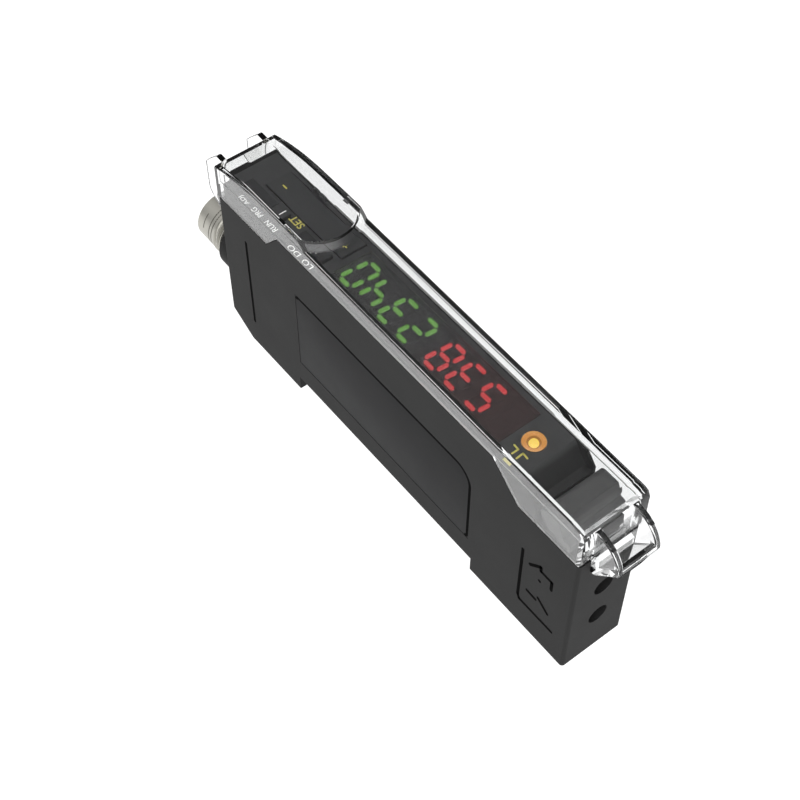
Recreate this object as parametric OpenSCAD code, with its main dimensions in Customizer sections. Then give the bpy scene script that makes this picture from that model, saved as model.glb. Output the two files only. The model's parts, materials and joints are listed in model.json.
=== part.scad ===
// Fibre optic sensor amplifier: slim rail-mounted housing under a hinged clear dust cover.
// Millimetres, +X to the fibre ports, +Z up to the display, origin mid-way along the rail seat.

/* [Housing] */
// Width across the two flat sides
body_w = 10; // [9.6:0.1:12]
// Length of the recess that takes the mounting rail
rail_gap = 37.9; // [37.6:0.1:40]
// Depth of the recess, rail seat to the underside of the feet
foot_h = 2.6; // [2.5:0.1:3.4]
// Length of the front foot, recess to fibre face
front_foot_l = 18.15; // [18:0.05:20]
// Length of the flat part of the rear foot
rear_foot_l = 11.95; // [11.9:0.05:14]
// Length of the sloping tail behind the rear foot
tail_l = 5; // [4:0.1:7]
// Rise of the sloping tail
tail_rise = 2.85; // [2:0.05:4]
// Height of the display face above the rail seat
deck_h = 26.1; // [25.8:0.1:30]
// Thickness of the side walls
wall_t = 1.1; // [1:0.05:1.2]
// Thickness of the floor
floor_t = 1.4; // [1.2:0.1:1.8]
// Thickness of the two end walls
end_t = 1.3; // [1.2:0.05:1.4]
// Drop of the rear shoulders below the display face
rear_drop = 3.2; // [2.8:0.1:3.6]
// Length of the rear shoulders
rear_shoulder_l = 11.4; // [10:0.1:13]
// Drop of the front shoulders below the display face
front_drop = 4.7; // [4.6:0.1:5]
// Length of the front shoulders
front_shoulder_l = 10.65; // [10:0.05:11.2]
// Radius of the upright corner edges
corner_r = 0.5; // [0.3:0.1:0.8]

/* [Rail catch] */
// Width of the mounting rail
rail_w = 35; // [34.8:0.1:35.2]
// Thickness of the rail's edge, with play
rail_t = 1.25; // [1.1:0.05:1.4]
// Reach of the catches under the rail's edge
hook_reach = 1.2; // [0.8:0.1:1.5]
// Half width of the catches
hook_hw = 1.4; // [1.2:0.1:1.6]
// Length of the sliding catch behind its nose
latch_l = 8.3; // [8:0.1:8.6]
// Travel of the sliding catch
latch_travel = 2; // [1.6:0.1:2.2]

/* [Display face] */
// Thickness of the display face
deck_t = 1.3; // [1.2:0.05:1.5]
// Pitch of the digits
digit_pitch = 3.9; // [3.7:0.05:4]
// Height of a digit
digit_h = 4.8; // [4.2:0.1:5.2]
// Width of a digit
digit_w = 2.6; // [2.3:0.1:2.8]
// Width of a digit's bar
bar_w = 0.5; // [0.4:0.05:0.6]
// Lean of the digits, sideways per height
lean = 0.1; // [0:0.02:0.16]
// Gap between the two display modules
module_gap = 1.15; // [1:0.05:1.4]
// Thickness of the smoked pane
pane_t = 0.65; // [0.5:0.05:0.8]
// Radius of the lamp
lamp_r = 1.5; // [1.2:0.1:1.6]

/* [Controls] */
// Length of the rocker
rocker_l = 16.7; // [16:0.1:17]
// Width of the rocker
rocker_w = 3.9; // [3.6:0.1:4]
// Tilt of the rocker to each side
rocker_tilt = 2.5; // [2:0.1:2.6]
// Travel of the mode knob over its three places
mode_travel = 5.9; // [5.4:0.1:6]
// Travel of the operate knob over its two places
operate_travel = 3; // [2.6:0.1:3.1]
// Length of a knob
knob_l = 2.5; // [2.2:0.1:2.6]
// Width of a knob
knob_w = 1.7; // [1.5:0.1:1.8]
// Height of a knob over the display face
knob_rise = 0.4; // [0.3:0.1:0.8]

/* [Fibre ports] */
// Height of the lower fibre over the rail seat
port_low_z = 5.55; // [5.2:0.05:6]
// Pitch of the two fibres
port_pitch = 6.95; // [6.5:0.05:7.2]
// Diameter of a fibre's jacket
fibre_d = 2.2; // [1.8:0.1:2.2]
// Diameter of the flared mouths in the end wall
mouth_d = 3; // [2.8:0.1:3.4]
// Lift of the clamp plate from gripped to free
clamp_lift = 0.3; // [0.2:0.05:0.35]
// Opening angle of the clamp lever
lever_open = 75; // [70:1:76]

/* [Dust cover] */
// Thickness of the cover's walls
cover_t = 0.8; // [0.7:0.05:0.9]
// Thickness of the cover's lower skirts
skirt_t = 0.4; // [0.3:0.05:0.5]
// Height of the cover over the display face, at the hood
low_rise = 2.9; // [2.7:0.1:3.1]
// Fall of the cover's top from the hood to the front
top_fall = 0.6; // [0.4:0.1:0.8]
// Height of the hood over the display face
hood_rise = 4.1; // [3.9:0.1:4.6]
// Radius of the hood's nose at its foot
nose_r = 6.5; // [6.3:0.1:6.8]
// Distance of the hinge behind the back wall
hinge_back = 1.6; // [1.55:0.05:1.8]
// Distance of the hinge below the display face
hinge_down = 6.6; // [6.3:0.05:6.8]
// Radius of the hinge stubs
hinge_r = 0.5; // [0.4:0.05:0.55]
// Reach of the finger tab before the front end
tab_r = 4.25; // [4.1:0.05:4.8]
// Thickness of the finger tab's cheeks and floor
tab_t = 0.85; // [0.7:0.05:0.9]

/* [Connector] */
// Outer radius of the threaded plug
plug_r = 4; // [4:0.05:4.1]
// Length of the plug behind the back wall
plug_l = 9.3; // [9.2:0.1:12]
// Height of the plug's axis over the rail seat
plug_z = 8.85; // [8.5:0.05:10]
// Radius of a contact pin
contact_r = 0.45; // [0.4:0.05:0.5]

/* [Hidden] */
$fn = 64;
// Clearances: close seat, running fit, sliding fit and free gap
seat = 0.05;
run = 0.05;
slide = 0.1;
free = 0.15;

half_w = body_w / 2;
front_x = rail_gap / 2 + front_foot_l;

// Lamp, display, pane and knobs in a row from front to back, with the housing as long as they need
lamp_x = front_x - 14.1;
lamp_rise = 0.35;
lamp_ball = (lamp_r * lamp_r + lamp_rise * lamp_rise) / (2 * lamp_rise);
module_l = 4 * digit_pitch;
red_x = lamp_x - 2.8 - module_l / 2;
green_x = red_x - module_gap - module_l;
pane_x0 = green_x - module_l / 2 - 0.3;
pane_x1 = red_x + module_l / 2 + 0.3;
rocker_x = pane_x0 - 1.2 - rocker_l / 2;
operate_x = pane_x0 - 2 - free - knob_l / 2;
mode_x = operate_x - operate_travel - knob_l - 2 * free - 3.3;
back_x = -max(rail_gap / 2 + rear_foot_l + tail_l, mode_travel + knob_l / 2 - mode_x + 3.8);

// Levels and widths of the housing
rim_z = deck_h - 0.1;
rear_z = deck_h - rear_drop;
front_z = deck_h - front_drop;
rear_x0 = back_x + rear_shoulder_l;
rear_x1 = rear_x0 + 2.7;
front_x0 = front_x - front_shoulder_l;
front_x1 = front_x0 - 4.95;
neck_hw = half_w - skirt_t - free;
deck_hw = neck_hw - 0.35 - seat;
cav_hw = half_w - wall_t;
deck_z0 = deck_h - deck_t;
neck_x0 = back_x + 1.35;
well_x0 = neck_x0 + 0.95;
deck_back = neck_x0 + 0.35 + seat;
deck_front = front_x - 11.4;
cheek_x = front_x - 9.7;
cheek_toe_x = front_x - 8;
foot_in = rail_gap / 2 + floor_t;

// Lever pivot, cam throw and follower height
piv_x = front_x - 5.9;
piv_z = deck_h - 2.7;
piv_r = 0.55;
cam_r = 1.2;
cam_e = clamp_lift / 2 / sin(lever_open / 2);
cam_x = piv_x + cam_e * cos(lever_open / 2);
cam_z = piv_z - clamp_lift / 2;
lever_hw = half_w - skirt_t - 0.2;
lever_top = piv_z + 1.8;
lug_y0 = 2.45;
lug_y1 = 3.5;

// Fibre block
port_zs = [port_low_z, port_low_z + port_pitch];
bore_r = fibre_d / 2 + run;
block_x0 = front_x - 13.1;
block_x1 = front_x - end_t - seat;
block_top = front_z - 0.1;
plate_x0 = piv_x - 0.8;
plate_x1 = piv_x + 0.8;
plate_hw = 2.2;
plate_top = cam_z - cam_r - run;
can_r = 1.5;

// Boards
board_top = deck_h - 5.2;
board_t = 1;
main_x0 = well_x0 + free;
main_x1 = block_x0 - 1.4;
main_top = board_top - board_t - seat;

// Display modules
pane_z0 = deck_h - pane_t;
bars_z0 = pane_z0 - seat - 0.2;
module_hw = digit_h / 2 + 0.8;
pane_hw = module_hw + 0.05;

// Rocker and switches
rocker_y0 = -0.55;
rocker_y1 = rocker_y0 + rocker_w;
rocker_piv_z = deck_h - 1.9;
key_x = rocker_l / 2 - 1.5;
key_y = (rocker_y0 + rocker_y1) / 2;
key_top = deck_h - 2.8;
knob_y = -2.2;
slot_hw = knob_w / 2 + slide;
sw_top = deck_z0 - 0.8;
sw_y0 = -cav_hw + free + 0.1;
sw_y1 = knob_y + 1.05;

// Dust cover
hinge_x = back_x - hinge_back;
hinge_z = deck_h - hinge_down;
ear_r = 2.2;
ear_x = back_x - ear_r - free;
ear_z = deck_h - 5.15;
ear_y0 = 2.93;
ear_y1 = 3.73;
edge_r = 0.3;
lug_in = 0.55;
lug_r = hinge_r + 1.05;
lug_out = ear_y0 - 0.13;
hood_x = pane_x0 - 0.75 - nose_r;
low_z = deck_h + low_rise;
hood_z = deck_h + hood_rise;
nose_fall = 0.714;
crest_r = 34;
crest_x = back_x + 11;
nose_z0 = low_z - 0.1;
fall_a = atan(top_fall / 46.8);
tab_z = deck_h - 2.8;
tab_low = deck_h - 6.6;
tab_hw = 3.3;
tab_in = tab_hw - tab_t;

// Connector
plug_end = back_x - plug_l;
collar_r = plug_r + 0.6;
plug_neck = plug_r - 0.4;
pin_off = board_t / 2 + contact_r + 0.02;

// Box between two corners
module brick(x0, x1, y0, y1, z0, z1) {
  translate([x0, y0, z0]) cube([x1 - x0, y1 - y0, z1 - z0]);
}

// Side outline drawn in X and Z, made solid from y0 to y1
module slab(y0, y1) {
  translate([0, y1, 0]) rotate([90, 0, 0]) linear_extrude(y1 - y0) children();
}

// The same piece on both sides of the middle plane
module both() {
  children();
  mirror([0, 1, 0]) children();
}

module ycyl(x, z, r, y0, y1) {
  translate([x, y1, z]) rotate([90, 0, 0]) cylinder(r = r, h = y1 - y0);
}

module xcyl(y, z, r, x0, x1) {
  translate([x0, y, z]) rotate([0, 90, 0]) cylinder(r = r, h = x1 - x0);
}

// Round-ended stroke between two points of a side face
module stroke(p, q, w) {
  d = q - p;
  translate(p) circle(d = w);
  translate(q) circle(d = w);
  translate(p) rotate(atan2(d[1], d[0])) translate([0, -0.47 * w]) square([norm(d), 0.94 * w]);
}

// Upright prism with rounded corners, the housing's plan
module plan(z0, z1) {
  translate([0, 0, z0]) linear_extrude(z1 - z0) {
    translate([back_x, -half_w + corner_r]) square([front_x - back_x, body_w - 2 * corner_r]);
    translate([back_x + corner_r, -half_w]) square([front_x - back_x - 2 * corner_r, body_w]);
    for (x = [back_x + corner_r, front_x - corner_r])
      for (y = [-half_w + corner_r, half_w - corner_r])
        translate([x, y]) circle(r = corner_r);
  }
}

module case_outline() {
  polygon([[back_x, tail_rise - foot_h], [back_x + tail_l, -foot_h], [-rail_gap / 2, -foot_h],
    [-rail_gap / 2, 0], [rail_gap / 2, 0], [rail_gap / 2, -foot_h], [front_x, -foot_h],
    [front_x, front_z], [front_x0, front_z], [front_x1, rim_z], [rear_x1, rim_z],
    [rear_x0, rear_z], [back_x, rear_z]]);
}

module neck_outline() {
  polygon([[neck_x0, rear_z - 1], [neck_x0, rim_z], [cheek_x, rim_z],
    [cheek_toe_x, deck_h - 2.1], [cheek_toe_x, front_z - 1]]);
}

// Hollow for the boards and the fibre block, open at the top
module cavity() {
  slab(-cav_hw, cav_hw) polygon([[back_x + end_t, floor_t], [foot_in, floor_t],
    [foot_in, floor_t - foot_h], [front_x - end_t, floor_t - foot_h],
    [front_x - end_t, deck_h + 5], [well_x0, deck_h + 5], [well_x0, rear_z - 1.2],
    [back_x + end_t, rear_z - 1.2]]);
}

// Shallow label panel and grooves on a side face
module side_marks() {
  x0 = -18.5;
  x1 = 18.2;
  z0 = 3.9;
  z1 = deck_h - 7.7;
  r = 3.1;
  slab(-half_w - 1, -half_w + 0.2) {
    translate([x0, z0]) square([x1 - x0 - r, z1 - z0]);
    translate([x0, z0]) square([x1 - x0, z1 - z0 - r]);
    translate([x1 - r, z1 - r]) circle(r = r);
  }
  slab(-half_w - 1, -half_w + 0.35)
    stroke([back_x + 6.06, tail_rise - 0.65], [back_x + 6.06, deck_h - 7.5], 0.6);
}

// Guide for the sliding catch in the rear foot, stepped so that the catch cannot drop out
module latch_guide() {
  x0 = -rail_gap / 2 - latch_l - latch_travel - 0.75;
  x1 = -rail_gap / 2 + 1;
  w = hook_hw + slide;
  brick(x0, x1, -w, w, -foot_h - 1, -rail_t);
  brick(x0, x1, -w - 0.8, w + 0.8, -rail_t, 0.3);
}

// Fixed hook on the front foot, under the rail's edge
module rail_hook() {
  x0 = rail_w / 2 + slide;
  slab(-hook_hw, hook_hw) polygon([[rail_gap / 2 + 0.5, 0.3], [x0, 0.3], [x0, -rail_t],
    [x0 - hook_reach, -rail_t], [x0 - hook_reach, -rail_t - 0.5], [x0, -foot_h],
    [rail_gap / 2 + 0.5, -foot_h]]);
}

module hinge_lug() {
  difference() {
    slab(lug_in, lug_out) {
      translate([hinge_x, hinge_z]) circle(r = lug_r);
      translate([hinge_x, hinge_z - lug_r]) square([hinge_back + 0.3, 2 * lug_r]);
    }
    ycyl(hinge_x, hinge_z, hinge_r + run, lug_in - 1, lug_out + 1);
  }
}

// Upright ribs that hold the main board's edges
module board_ribs() {
  for (x = [main_x0 + 8, 8])
    both() brick(x, x + 1.2, board_t / 2 + seat, cav_hw + 0.3, floor_t - 0.2, floor_t + 9);
}

module case() {
  color([0.24, 0.24, 0.24]) {
    difference() {
      union() {
        intersection() {
          slab(-half_w, half_w) case_outline();
          plan(-foot_h - 1, deck_h);
        }
        slab(-neck_hw, neck_hw) neck_outline();
        rail_hook();
        xcyl(0, plug_z, collar_r, back_x - 2.6, back_x + 0.1);
      }
      cavity();
      brick(deck_back - seat, cheek_toe_x + 1, -deck_hw - seat, deck_hw + seat, deck_z0, deck_h + 5);
      brick(deck_front - 0.6, cheek_toe_x + 1, -deck_hw - seat, deck_hw + seat, deck_h - 3.6, deck_h);
      for (z = port_zs) xcyl(0, z, mouth_d / 2, front_x - end_t - 1, front_x + 1);
      xcyl(0, plug_z, plug_r + seat, back_x - 4, back_x - 0.7);
      xcyl(0, plug_z, plug_neck + seat, back_x - 4, back_x + end_t + 1);
      latch_guide();
      both() side_marks();
    }
    both() hinge_lug();
    board_ribs();
  }
}

// Rocker opening, knob slots, pane opening and lamp hole
module deck_holes() {
  z0 = deck_z0 - 1;
  z1 = deck_h + 1;
  brick(rocker_x - rocker_l / 2 - free, rocker_x + rocker_l / 2 + free, rocker_y0 - free,
    rocker_y1 + free, z0, z1);
  brick(mode_x - mode_travel - knob_l / 2 - free, mode_x + knob_l / 2 + free, knob_y - slot_hw,
    knob_y + slot_hw, z0, z1);
  brick(operate_x - operate_travel - knob_l / 2 - free, operate_x + knob_l / 2 + free,
    knob_y - slot_hw, knob_y + slot_hw, z0, z1);
  brick(pane_x0 - seat, pane_x1 + seat, -pane_hw - seat, pane_hw + seat, z0, z1);
  translate([lamp_x, 0, z0]) cylinder(r = lamp_r + seat, h = z1 - z0);
}

// Bearing lug for one end of the rocker's axle
module rocker_bearing(y0, y1) {
  difference() {
    brick(rocker_x - 1.1, rocker_x + 1.1, y0, y1, rocker_piv_z - 0.9, deck_z0 + 0.2);
    ycyl(rocker_x, rocker_piv_z, 0.5 + run, y0 - 1, y1 + 1);
  }
}

module deck() {
  color([0.1, 0.1, 0.1]) {
    difference() {
      union() {
        brick(deck_back, deck_front, -deck_hw, deck_hw, deck_z0, deck_h);
        slab(-deck_hw, deck_hw) polygon([[deck_front - 0.5, deck_h], [deck_front, deck_h],
          [deck_front + 2.15, deck_h - 2.7], [cheek_toe_x - 0.15, deck_h - 2.9],
          [cheek_toe_x - 0.15, deck_h - 3.5],
          [cheek_toe_x - 1, deck_h - 3.5], [deck_front - 0.5, deck_z0]]);
      }
      deck_holes();
    }
    rocker_bearing(rocker_y0 - free - 0.45, rocker_y0 - free);
    rocker_bearing(rocker_y1 + free, cav_hw - seat);
    for (x = [deck_back + 0.75, lamp_x + 1.9])
      brick(x, x + 0.6, -3, 3, board_top + seat, deck_z0 + 0.2);
    for (x = [rocker_x - 3, rocker_x - 1.5])
      brick(x - 0.5, x + 0.5, rocker_y1 + free + 0.05, deck_hw - 0.05, deck_h - 0.2, deck_h + 0.75);
  }
}

module display_window() {
  color([0.2, 0.05, 0.05, 0.6])
    brick(pane_x0, pane_x1, -pane_hw, pane_hw, pane_z0, deck_h);
}

module display_module(x) {
  brick(x - module_l / 2, x + module_l / 2, -module_hw, module_hw, board_top, bars_z0);
}

module green_display() {
  color([0.12, 0.13, 0.12]) display_module(green_x);
}

module red_display() {
  color([0.13, 0.11, 0.11]) display_module(red_x);
}

// Leaning point of a digit
function leant(p) = [p[0] + lean * p[1], p[1]];

// Six-sided bar, lying when up is 0 and standing when up is 1
module bar(cx, cy, h, up) {
  e = bar_w / 2;
  pts = [[-h, 0], [-h + e, e], [h - e, e], [h, 0], [h - e, -e], [-h + e, -e]];
  polygon([for (p = pts) leant(up == 0 ? [cx + p[0], cy + p[1]] : [cx + p[1], cy + p[0]])]);
}

// The seven bars of one digit, read from the connector's far side with its top to -Y
module digit() {
  gx = digit_w / 2 - bar_w / 2;
  gy = digit_h / 2 - bar_w / 2;
  rotate(180) {
    for (k = [-1, 0, 1]) bar(0, k * gy, gx - 0.08, 0);
    for (i = [-1, 1])
      for (k = [-1, 1])
        bar(i * gx, k * gy / 2, gy / 2 - 0.08, 1);
  }
}

module segments(x) {
  for (k = [-1.5:1:1.5])
    translate([x + k * digit_pitch, 0, bars_z0]) linear_extrude(0.2) digit();
}

module green_segments() {
  color([0.41, 0.69, 0.33]) segments(green_x);
}

module red_segments() {
  color([0.84, 0.22, 0.24]) segments(red_x);
}

module output_led() {
  color([0.95, 0.6, 0.15]) translate([lamp_x, 0, 0]) {
    translate([0, 0, board_top]) cylinder(r = lamp_r + 0.3, h = deck_z0 - seat - board_top);
    translate([0, 0, board_top]) cylinder(r = lamp_r, h = deck_h + 0.1 - board_top);
    intersection() {
      translate([0, 0, deck_h + 0.1 + lamp_rise - lamp_ball]) sphere(r = lamp_ball);
      translate([0, 0, deck_h]) cylinder(r = lamp_r, h = 3);
    }
  }
}

module display_board() {
  color([0.1, 0.3, 0.16])
    brick(main_x0, lamp_x + 2.6, -cav_hw + 0.15, cav_hw - 0.15, board_top - board_t, board_top);
}

// Upright main board with its larger soldered parts
module main_board() {
  e = board_t / 2;
  color([0.1, 0.3, 0.16]) {
    brick(main_x0, main_x1, -e, e, floor_t, main_top);
    brick(-14, -7, e, e + 1.1, 8, 15);
    brick(-3, 1, e, e + 1.6, 4, 8);
    brick(3, 6.2, -e - 1.3, -e, 11, 14.2);
    brick(13, 17, -e - 1, -e, 5, 10);
    brick(main_x0 + 3.2, main_x0 + 6.2, -e - 2, -e, 3.5, 6.5);
    translate([-19, e, 5.5]) rotate([-90, 0, 0]) cylinder(r = 1.9, h = 2.6);
  }
}

// Switch body with a groove for the knob's foot
module switch_body(x0, x1) {
  difference() {
    brick(x0, x1, sw_y0, sw_y1, board_top, sw_top);
    brick(x0 + 0.4, x1 - 0.4, knob_y - 0.45 - slide, knob_y + 0.45 + slide, sw_top - 1.2, sw_top + 1);
  }
}

module mode_switch_body() {
  color([0.75, 0.75, 0.72])
    switch_body(mode_x - mode_travel - knob_l / 2 - 0.6, mode_x + knob_l / 2 + 0.4);
}

module operate_switch_body() {
  color([0.75, 0.75, 0.72])
    switch_body(operate_x - operate_travel - knob_l / 2 - 0.5, operate_x + knob_l / 2 + 0.6);
}

module tact_switches() {
  color([0.2, 0.2, 0.22])
    for (s = [-1, 1]) translate([rocker_x + s * key_x, key_y, board_top]) {
      translate([-1.6, -1.4, 0]) cube([3.2, 2.8, 1.7]);
      cylinder(r = 0.8, h = key_top - board_top);
    }
}

// Knob with a foot in the switch body and a flange under the display face
module knob(x) {
  h = knob_l / 2;
  brick(x - h, x + h, knob_y - knob_w / 2, knob_y + knob_w / 2, deck_z0 - 0.4, deck_h + knob_rise);
  brick(x - h, x + h, sw_y0 + 0.2, sw_y1, deck_z0 - 0.7, deck_z0 - slide);
  brick(x - h + 0.3, x + h - 0.3, knob_y - 0.45, knob_y + 0.45, sw_top - 1.05, deck_z0 - 0.5);
}

module mode_knob() {
  color([0.14, 0.14, 0.14]) knob(mode_x);
}

module operate_knob() {
  color([0.14, 0.14, 0.14]) knob(operate_x);
}

module rocker_button() {
  h = rocker_l / 2;
  color([0.13, 0.13, 0.13]) {
    slab(rocker_y0, rocker_y1) polygon([[rocker_x - h, deck_h + 0.2], [rocker_x - h, deck_h - 1],
      [rocker_x - 1.6, deck_h - 1], [rocker_x - 0.9, rocker_piv_z - 0.6],
      [rocker_x + 0.9, rocker_piv_z - 0.6], [rocker_x + 1.6, deck_h - 1], [rocker_x + h, deck_h - 1],
      [rocker_x + h, deck_h + 0.2], [rocker_x, deck_h]]);
    ycyl(rocker_x, rocker_piv_z, 0.5, rocker_y0 - free - 0.4, rocker_y1 + free + 0.35);
    for (s = [-1, 1]) translate([rocker_x + s * key_x, key_y, key_top + 0.35])
      cylinder(r = 0.7, h = deck_h - 0.9 - key_top - 0.35);
  }
}

// Block with the two fibre bores, the optics' pockets, the plate's slot and the lever's lugs
module port_block() {
  hw = cav_hw - seat;
  color([0.09, 0.09, 0.1]) {
    difference() {
      union() {
        slab(-hw, hw) polygon([[block_x0, floor_t - seat], [foot_in + seat, floor_t - seat],
          [foot_in + seat, floor_t - foot_h + seat], [block_x1, floor_t - foot_h + seat],
          [block_x1, block_top], [cheek_toe_x + 0.1, block_top],
          [cheek_toe_x + 0.1, main_top - 0.6], [block_x0, main_top - 0.6]]);
        both() slab(lug_y0, lug_y1) {
          translate([piv_x, piv_z]) circle(r = 0.75);
          translate([piv_x - 0.75, block_top - 0.5]) square([1.5, piv_z - block_top + 0.5]);
        }
      }
      for (z = port_zs) {
        xcyl(0, z, bore_r, block_x0 - 1, front_x);
        xcyl(0, z, can_r + seat, block_x0 - 1, block_x0 + 3.2);
      }
      brick(plate_x0 - slide, plate_x1 + slide, -plate_hw - slide, plate_hw + slide,
        port_low_z - 3, deck_h);
      ycyl(piv_x, piv_z, piv_r + 0.01, -lug_y1 - 1, lug_y1 + 1);
    }
  }
}

// Optical can with a flange, a lens and two legs that straddle the main board
module optic(z) {
  xcyl(0, z, can_r, block_x0 - 0.6, block_x0 + 2.45);
  xcyl(0, z, can_r + 0.3, block_x0 - 0.6, block_x0 - seat);
  intersection() {
    translate([block_x0 + 2.1, 0, z]) sphere(r = 1);
    xcyl(0, z, 1, block_x0 + 2, block_x0 + 4);
  }
  for (s = [-1, 1]) xcyl(s * (board_t / 2 + 0.24), z, 0.22, block_x0 - 3.4, block_x0 - 0.5);
}

module emitter() {
  color([0.8, 0.2, 0.2]) optic(port_zs[1]);
}

module receiver() {
  color([0.25, 0.27, 0.32]) optic(port_zs[0]);
}

module clamp_pin() {
  color([0.7, 0.7, 0.72]) ycyl(piv_x, piv_z, piv_r, -lever_hw + 0.25, lever_hw - 0.25);
}

// Sliding plate whose two holes grip the fibres when it is down
module clamp_plate() {
  color([0.62, 0.63, 0.65]) difference() {
    brick(plate_x0, plate_x1, -plate_hw, plate_hw, port_low_z - 2.55, plate_top);
    for (z = port_zs) xcyl(0, z - clamp_lift, bore_r + clamp_lift, plate_x0 - 1, plate_x1 + 1);
  }
}

// Outer side outline of the lever, rounded about its back edge
module lever_outline() {
  translate([piv_x - 0.4, lever_top - 1]) circle(r = 1);
  polygon([[piv_x - 0.4, lever_top], [piv_x + 1.6, lever_top], [piv_x + 2.55, piv_z - 0.2],
    [piv_x + 3.6, piv_z - 0.35], [piv_x + 3.8, piv_z - 0.55], [piv_x + 3.8, piv_z - 1.65],
    [piv_x + 3, piv_z - 1.65], [piv_x + 1.2, piv_z - 1.1], [piv_x, piv_z - 1],
    [piv_x - 1, piv_z], [piv_x - 1.4, piv_z + 0.8]]);
}

// Space under the lever's skin for the lugs and the cam
module lever_hollow() {
  polygon([[piv_x - 3, piv_z - 4], [piv_x - 3, piv_z + 1], [piv_x + 1, piv_z + 1],
    [piv_x + 1.75, piv_z - 0.75], [piv_x + 3.1, piv_z - 1], [piv_x + 3.1, piv_z - 4]]);
}

module clamp_lever() {
  color([0.3, 0.3, 0.3]) {
    difference() {
      union() {
        difference() {
          slab(-lever_hw, lever_hw) lever_outline();
          slab(-lug_y1 - 0.25, lug_y1 + 0.25) lever_hollow();
        }
        ycyl(cam_x, cam_z, cam_r, -plate_hw, plate_hw);
        brick(piv_x - 0.6, piv_x + 0.6, -plate_hw, plate_hw, piv_z + 0.5, piv_z + 1.2);
      }
      ycyl(piv_x, piv_z, piv_r + run, -lever_hw + 0.2, lever_hw - 0.2);
    }
    brick(piv_x + 3.5, piv_x + 4.1, 0.6, 2.6, piv_z - 0.95, piv_z - 0.5);
  }
}

// Long bar with rounded top edges, its top at z = 0, along X
module round_bar(r) {
  translate([back_x - 20, 0, 0]) rotate([90, 0, 90]) linear_extrude(front_x - back_x + 60) {
    translate([-half_w, -30]) square([body_w, 30 - r]);
    translate([-half_w + r, -30]) square([body_w - 2 * r, 30]);
    for (s = [-1, 1]) translate([s * (half_w - r), -r]) circle(r = r);
  }
}

// Side outline of the cover's low part; its top is cut by the falling bar
module cover_outline() {
  g = free;
  polygon([[back_x, rear_z + g], [rear_x0, rear_z + g], [rear_x1, rim_z + g], [front_x1, rim_z + g],
    [front_x0, front_z + g], [front_x - 0.5, front_z + g], [front_x - 0.15, front_z + g + 0.15],
    [front_x, front_z + g + 0.5], [front_x, low_z - 1.9], [front_x - 0.35, low_z - 1.1],
    [front_x - 0.9, low_z - 0.87], [front_x - 1.85, low_z - 0.78], [front_x - 5, low_z + 0.2],
    [hood_x + 5, low_z + 0.3], [hood_x, low_z - 0.2], [back_x, low_z - 0.9]]);
}

// Wheel about Y with a rounded rim, the hood's arched top behind its crest
module round_wheel(r) {
  translate([crest_x, 0, hood_z - crest_r]) rotate([90, 0, 0]) rotate_extrude() {
    translate([0, -half_w]) square([crest_r - r, body_w]);
    translate([0, -half_w + r]) square([crest_r, body_w - 2 * r]);
    for (s = [-1, 1]) translate([crest_r - r, s * (half_w - r)]) circle(r = r);
  }
}

// Hood's solid: arched behind the crest, flat before it, with a cone for its nose
module hood_solid() {
  intersection() {
    brick(back_x, crest_x, -half_w, half_w, rim_z + free, hood_z + 1);
    round_wheel(edge_r);
  }
  intersection() {
    union() {
      brick(crest_x, hood_x, -half_w, half_w, rim_z + free, hood_z);
      translate([hood_x, 0, nose_z0])
        cylinder(r1 = nose_r, r2 = nose_r - nose_fall * (hood_z - nose_z0), h = hood_z - nose_z0);
    }
    translate([0, 0, hood_z]) round_bar(edge_r);
    brick(crest_x, front_x, -half_w, half_w, rear_z, hood_z + 1);
  }
}

// Hollow under the hood
module hood_hollow() {
  hw = half_w - cover_t;
  top = hood_z - cover_t;
  intersection() {
    brick(back_x + cover_t, crest_x, -hw, hw, rim_z, top);
    ycyl(crest_x, hood_z - crest_r, crest_r - cover_t, -hw, hw);
  }
  intersection() {
    union() {
      brick(crest_x, hood_x, -hw, hw, rim_z, top);
      translate([hood_x, 0, nose_z0 - 0.8])
        cylinder(r1 = nose_r + 0.57 - 0.85, r2 = nose_r - 0.85 - nose_fall * (top - nose_z0), h = top - nose_z0 + 0.8);
    }
    brick(crest_x, front_x, -hw, hw, rim_z, top);
  }
}

// Falling bar that gives the low top its slope and rounded edges
module falling_bar(d) {
  translate([hood_x + nose_r, 0, low_z - d]) rotate([0, fall_a, 0])
    translate([-hood_x - nose_r, 0, 0]) round_bar(edge_r);
}

module cover_shell() {
  difference() {
    union() {
      intersection() {
        slab(-half_w, half_w) cover_outline();
        falling_bar(0);
      }
      hood_solid();
    }
    intersection() {
      slab(-half_w + cover_t, half_w - cover_t) polygon([[back_x + cover_t, 0], [front_x - cover_t, 0],
        [front_x - cover_t, low_z - 2.2], [front_x - cover_t - 0.3, low_z - 1.75],
        [front_x - 2.1, low_z - 1.6], [front_x - 5, low_z], [back_x + cover_t, low_z - 0.6]]);
      falling_bar(cover_t);
    }
    slab(-half_w + skirt_t, half_w - skirt_t) polygon([[back_x + cover_t, 0], [front_x - cover_t, 0],
      [front_x - cover_t, rim_z + free], [back_x + cover_t, rim_z + free]]);
    hood_hollow();
  }
}

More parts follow.
